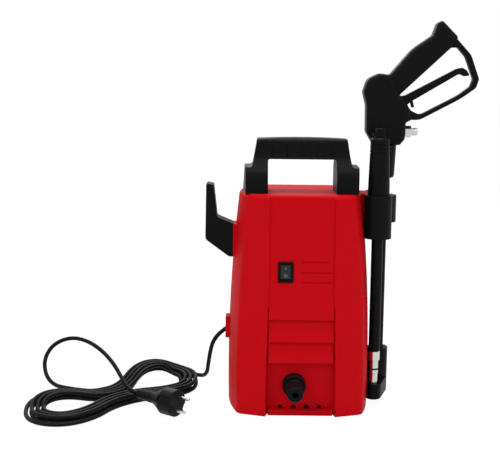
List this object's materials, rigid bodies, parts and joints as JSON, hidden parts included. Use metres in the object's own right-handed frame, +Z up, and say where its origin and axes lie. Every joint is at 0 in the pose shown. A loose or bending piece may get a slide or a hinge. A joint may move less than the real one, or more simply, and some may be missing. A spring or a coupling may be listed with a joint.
{
  "type": "electric pressure washer",
  "caption": "Upright electric pressure washer with carry handle, flank holder for spray lance and trigger gun, front water inlet, cord hook and a mains lead wound on the floor.",
  "frame": {"origin": "on the floor, under the middle of the housing", "axes": "+X to the viewer's right, towards the lances; +Y to the back, away from the water inlet; +Z up"},
  "size_m": [0.66, 0.2827, 0.5709],
  "materials": {
    "red_abs": "satin moulded",
    "black_plastic": "fine grain",
    "rocker_plastic": "satin",
    "cord_rubber": "satin",
    "rubber": "matt",
    "screw_steel": "zinc plated",
    "bright_steel": "ground",
    "nozzle_metal": "turned",
    "brass": "turned",
    "cast_aluminium": "cast",
    "motor_paint": "satin",
    "core_iron": "stacked sheets",
    "copper": "enamelled",
    "carbon": "pressed",
    "fan_plastic": "moulded",
    "filter_mesh": "woven"
  },
  "bodies": {
    "washer": {"front_housing": "red_abs", "rear_housing": "red_abs", "housing_screws": "screw_steel", "carry_handle": "black_plastic", "handle_screws": "screw_steel", "cord_hook": "black_plastic", "flank_screws": "screw_steel", "lance_holder": "black_plastic", "lance_cup": "black_plastic", "switch_frame": "black_plastic", "inlet_connector": "black_plastic", "inlet_filter": "filter_mesh", "outlet_fitting": "brass", "motor_mounts": "rubber", "pump_head": "cast_aluminium", "pump_body": "cast_aluminium", "plungers": "bright_steel", "plunger_springs": "bright_steel", "drive_housing": "cast_aluminium", "pressure_switch": "black_plastic", "lower_bracket": "cast_aluminium", "upper_bracket": "cast_aluminium", "motor_can": "motor_paint", "motor_bolts": "screw_steel", "motor_stator": "core_iron", "field_coils": "copper", "motor_bearings": "bright_steel", "brush_holders": "brass", "carbon_brushes": "carbon", "cord_gland": "red_abs", "gland_nut": "black_plastic", "cord_lead": "cord_rubber", "cord_hank": "cord_rubber", "cord_tail": "cord_rubber", "plug_body": "cord_rubber", "plug_pins": "bright_steel"},
    "rotor": {"motor_shaft": "bright_steel", "rotor_core": "core_iron", "commutator": "copper", "cooling_fan": "fan_plastic", "wobble_plate": "bright_steel"},
    "rocker": {"switch_rocker": "rocker_plastic"},
    "lance": {"lance_tube": "black_plastic", "lance_grip": "black_plastic", "lance_bayonet": "black_plastic", "nozzle_body": "nozzle_metal", "nozzle_seal": "rubber"},
    "nozzle": {"nozzle_tip": "nozzle_metal"},
    "gun": {"wand_tube": "black_plastic", "wand_nozzle": "brass", "gun_shell_front": "black_plastic", "gun_shell_rear": "black_plastic", "gun_screws": "screw_steel", "trigger_pin": "bright_steel", "gun_valve_body": "brass", "gun_inlet_nipple": "nozzle_metal", "gun_barrel_sleeve": "black_plastic"},
    "trigger": {"gun_trigger": "black_plastic"},
    "lock": {"trigger_lock": "black_plastic"},
    "stem": {"valve_stem": "bright_steel"}
  },
  "joints": [
    {"name": "motor_spin", "type": "hinge", "parent": "washer", "child": "rotor", "pos_m": [0, 0.005, 0.2], "axis": [0, 0, 1], "continuous": true},
    {"name": "rocker_tilt", "type": "hinge", "parent": "washer", "child": "rocker", "pos_m": [-0.0234, -0.08611, 0.21041], "axis": [1, 0, 0], "range_deg": [0, 14]},
    {"name": "lance_lift", "type": "slide", "parent": "washer", "child": "lance", "axis": [0, 0, 1], "range_m": [0, 0.33]},
    {"name": "nozzle_turn", "type": "hinge", "parent": "lance", "child": "nozzle", "pos_m": [0.113, -0.038, 0.04], "axis": [0, 0, 1], "range_deg": [-90, 90]},
    {"name": "gun_lift", "type": "slide", "parent": "washer", "child": "gun", "axis": [0, 0, 1], "range_m": [0, 0.33]},
    {"name": "trigger_pull", "type": "hinge", "parent": "gun", "child": "trigger", "pos_m": [0.1346, 0, 0.4535], "axis": [0, -1, 0], "range_deg": [0, 12], "stiffness_Nm_per_rad": 0.6, "springref_deg": -11.46},
    {"name": "trigger_lock_fold", "type": "hinge", "parent": "trigger", "child": "lock", "pos_m": [0.1611, 0, 0.457], "axis": [0, -1, 0], "range_deg": [0, 60]},
    {"name": "stem_press", "type": "slide", "parent": "gun", "child": "stem", "axis": [0, 0, -1], "range_m": [0, 0.0026]}
  ],
  "couplings": [
    {"joint": "stem_press", "follows": "trigger_pull", "m_per_rad": 0.0122}
  ]
}
